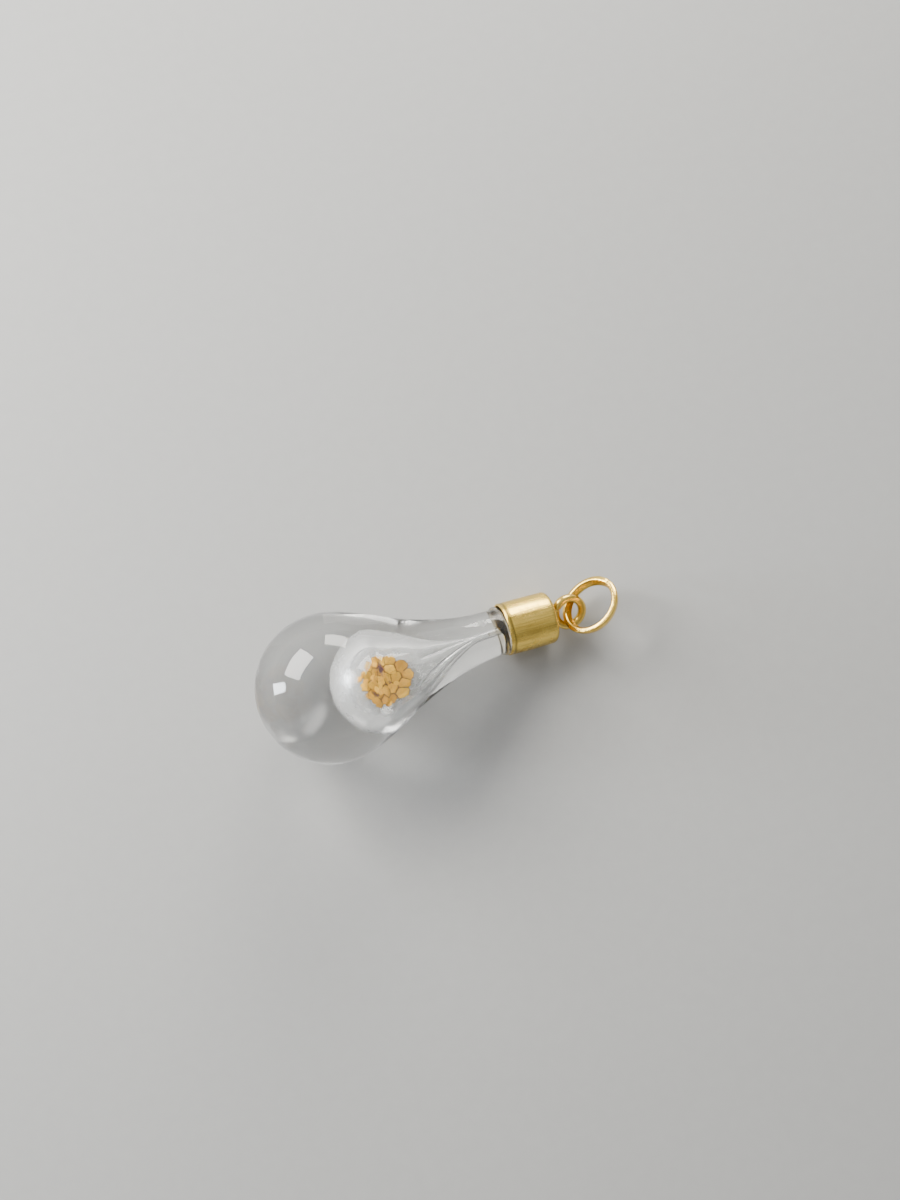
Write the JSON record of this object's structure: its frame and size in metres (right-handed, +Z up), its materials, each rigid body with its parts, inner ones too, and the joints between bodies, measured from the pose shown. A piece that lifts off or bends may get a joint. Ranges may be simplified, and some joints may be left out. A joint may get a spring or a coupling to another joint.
{
  "type": "glass vial pendant",
  "caption": "Small teardrop glass vial pendant with a brass cap, wire eye and jump ring, holding loose gold flakes in its air chamber.",
  "frame": {"origin": "middle of the base of the box, on the surface that the vial lies on", "axes": "+X along the vial from bulb to jump ring, +Z up, the vial lying on its bulb and its cap's rim"},
  "size_m": [0.0302, 0.012, 0.012],
  "materials": {
    "clear_glass": "clear flame-worked soda glass, glossy",
    "clear_resin": "clear cured resin, slightly yellow",
    "clear_adhesive": "clear glue, slightly brown",
    "brushed_gold_brass": "gold-coloured brass, brushed along the axis",
    "gold_wire": "gold-coloured wire, polished",
    "solder": "dull gold solder",
    "gold_flake": "orange-gold leaf flake, half matt"
  },
  "bodies": {
    "vial": {"glass_vial": "clear_glass", "neck_plug": "clear_resin", "cap_adhesive": "clear_adhesive", "end_cap": "brushed_gold_brass", "eye_loop": "gold_wire", "solder_bead": "solder"},
    "jump_ring": {"jump_ring": "gold_wire"},
    "gold_heap": {"gold_flake_01": "gold_flake", "gold_flake_02": "gold_flake", "gold_flake_03": "gold_flake", "gold_flake_04": "gold_flake", "gold_flake_05": "gold_flake", "gold_flake_06": "gold_flake", "gold_flake_07": "gold_flake", "gold_flake_08": "gold_flake", "gold_flake_09": "gold_flake", "gold_flake_10": "gold_flake", "gold_flake_11": "gold_flake", "gold_flake_12": "gold_flake", "gold_flake_13": "gold_flake", "gold_flake_14": "gold_flake", "gold_flake_15": "gold_flake", "gold_flake_16": "gold_flake", "gold_flake_17": "gold_flake", "gold_flake_18": "gold_flake", "gold_flake_19": "gold_flake", "gold_flake_20": "gold_flake", "gold_flake_21": "gold_flake", "gold_flake_22": "gold_flake", "gold_flake_23": "gold_flake", "gold_flake_24": "gold_flake", "gold_flake_25": "gold_flake", "gold_flake_26": "gold_flake", "gold_flake_27": "gold_flake", "gold_flake_28": "gold_flake", "gold_flake_29": "gold_flake", "gold_flake_30": "gold_flake", "gold_flake_31": "gold_flake", "gold_flake_32": "gold_flake", "gold_flake_33": "gold_flake", "gold_flake_34": "gold_flake", "gold_flake_35": "gold_flake", "gold_flake_36": "gold_flake", "gold_flake_37": "gold_flake", "gold_flake_38": "gold_flake", "gold_flake_39": "gold_flake", "gold_flake_40": "gold_flake", "gold_flake_41": "gold_flake", "gold_flake_42": "gold_flake", "gold_flake_43": "gold_flake", "gold_flake_44": "gold_flake", "gold_flake_45": "gold_flake", "gold_flake_46": "gold_flake"}
  },
  "joints": [
    {"name": "ring_swing", "type": "hinge", "parent": "vial", "child": "jump_ring", "pos_m": [0.01111, -0.00031, 0.00172], "axis": [0.1574, 0.8308, 0.5338], "range_deg": [-5, 50]},
    {"name": "heap_roll", "type": "hinge", "parent": "vial", "child": "gold_heap", "pos_m": [-0.0064, -0.0005, 0.00543], "axis": [0.9784, 0, -0.2068], "continuous": true}
  ]
}
